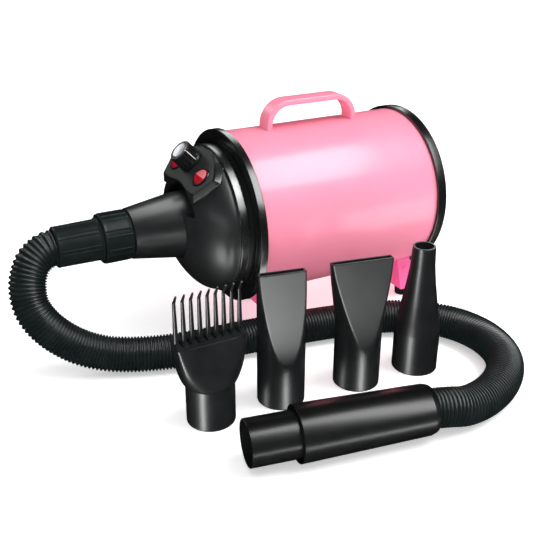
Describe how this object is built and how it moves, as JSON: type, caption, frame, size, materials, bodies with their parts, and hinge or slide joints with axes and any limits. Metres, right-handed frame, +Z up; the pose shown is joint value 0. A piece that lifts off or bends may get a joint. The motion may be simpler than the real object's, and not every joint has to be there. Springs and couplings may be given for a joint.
{
  "type": "pet dryer",
  "caption": "Forced-air pet dryer: drum-shaped blower with a carrying handle on two footed brackets, a corrugated hose, a wand and loose nozzles.",
  "frame": {"origin": "on the floor, under the middle of the box of all the rigid parts", "axes": "+Z up, blower axis along X with the outlet towards -X, the wand and nozzles lie towards -Y"},
  "size_m": [0.464, 0.389, 0.2426],
  "materials": {
    "pink_paint": "satin powder coat",
    "magenta_paint": "satin powder coat",
    "black_gloss": "gloss",
    "black_satin": "satin",
    "panel_grey": "fine grained",
    "black_rubber": "matt",
    "hose_black": "satin",
    "red_plastic": "gloss",
    "silver_trim": "brushed",
    "steel": "plated",
    "laminations": "lacquered",
    "copper": "enamelled wire",
    "foam": "open foam",
    "mica": "matt",
    "brown_plastic": "matt",
    "green_board": "lacquered"
  },
  "bodies": {
    "dryer": {"body_shell": "pink_paint", "front_band": "black_gloss", "rear_band": "black_gloss", "front_plate": "black_satin", "front_cover": "black_satin", "outlet_tube": "black_satin", "hose_end_collar": "black_satin", "hose_tube": "hose_black", "wand_collar": "black_satin", "handle": "pink_paint", "handle_screws": "steel", "front_bracket": "magenta_paint", "rear_bracket": "magenta_paint", "bracket_rivets": "magenta_paint", "rubber_feet": "black_rubber", "foot_screws": "steel", "potentiometer": "steel", "switch_bezels": "black_gloss", "switch_bodies": "black_satin", "cover_screws": "steel", "rear_plate": "black_satin", "cord_gland": "black_satin", "gland_nut": "black_satin", "sound_foam": "foam", "bulkhead": "steel", "fan_gasket": "black_rubber", "fan_housing": "steel", "diffuser": "silver_trim", "motor_frame": "steel", "stator": "laminations", "field_coils": "copper", "bearings": "steel", "brush_holders": "brown_plastic", "carbon_brushes": "black_satin", "motor_spider": "steel", "spider_grommets": "black_rubber", "heater_boards": "mica", "heater_coils": "steel", "thermal_cutout": "mica", "control_board": "green_board"},
    "cuff": {"hose_cuff_ring": "black_rubber", "hose_cuff_sleeve": "black_rubber"},
    "wand": {"wand_sleeve": "black_gloss", "wand_tube": "black_gloss"},
    "knob": {"speed_knob": "black_gloss", "knob_cap": "silver_trim", "pot_shaft": "steel"},
    "power_button": {"power_rocker": "red_plastic"},
    "heat_button": {"heat_rocker": "red_plastic"},
    "rotor": {"rotor_shaft": "steel", "armature": "laminations", "commutator": "copper", "impellers": "silver_trim"},
    "grille": {"rear_grille": "black_satin", "foam_filter": "foam"},
    "comb": {"comb_nozzle": "black_satin", "comb_teeth": "black_satin"},
    "narrow": {"narrow_nozzle": "black_satin"},
    "wide": {"wide_nozzle": "black_satin"},
    "round": {"round_nozzle": "black_satin"}
  },
  "joints": [
    {"name": "speed_turn", "type": "hinge", "parent": "dryer", "child": "knob", "pos_m": [-0.08555, 0.108, 0.18761], "axis": [-0.682, 0, 0.7314], "range_deg": [-135, 135]},
    {"name": "power_press", "type": "hinge", "parent": "dryer", "child": "power_button", "pos_m": [-0.0905, 0.072, 0.18163], "axis": [0, 1, 0], "range_deg": [0, 10]},
    {"name": "heat_press", "type": "hinge", "parent": "dryer", "child": "heat_button", "pos_m": [-0.0905, 0.131, 0.18163], "axis": [0, 1, 0], "range_deg": [0, 10]},
    {"name": "rotor_spin", "type": "hinge", "parent": "dryer", "child": "rotor", "pos_m": [0.05, 0.1015, 0.125], "axis": [1, 0, 0], "continuous": true},
    {"name": "cuff_swivel", "type": "hinge", "parent": "dryer", "child": "cuff", "pos_m": [-0.2, 0.1015, 0.125], "axis": [1, 0, 0], "continuous": true},
    {"name": "wand_swivel", "type": "hinge", "parent": "dryer", "child": "wand", "pos_m": [-0.149, -0.1395, 0.0253], "axis": [0.982, -0.1891, 0], "continuous": true},
    {"name": "grille_off", "type": "slide", "parent": "dryer", "child": "grille", "axis": [1, 0, 0], "range_m": [0, 0.06]},
    {"name": "comb_lift", "type": "slide", "parent": "dryer", "child": "comb", "axis": [0, 0, 1], "range_m": [0, 0.25]},
    {"name": "narrow_lift", "type": "slide", "parent": "dryer", "child": "narrow", "axis": [0, 0, 1], "range_m": [0, 0.25]},
    {"name": "wide_lift", "type": "slide", "parent": "dryer", "child": "wide", "axis": [0, 0, 1], "range_m": [0, 0.25]},
    {"name": "round_lift", "type": "slide", "parent": "dryer", "child": "round", "axis": [0, 0, 1], "range_m": [0, 0.25]}
  ]
}
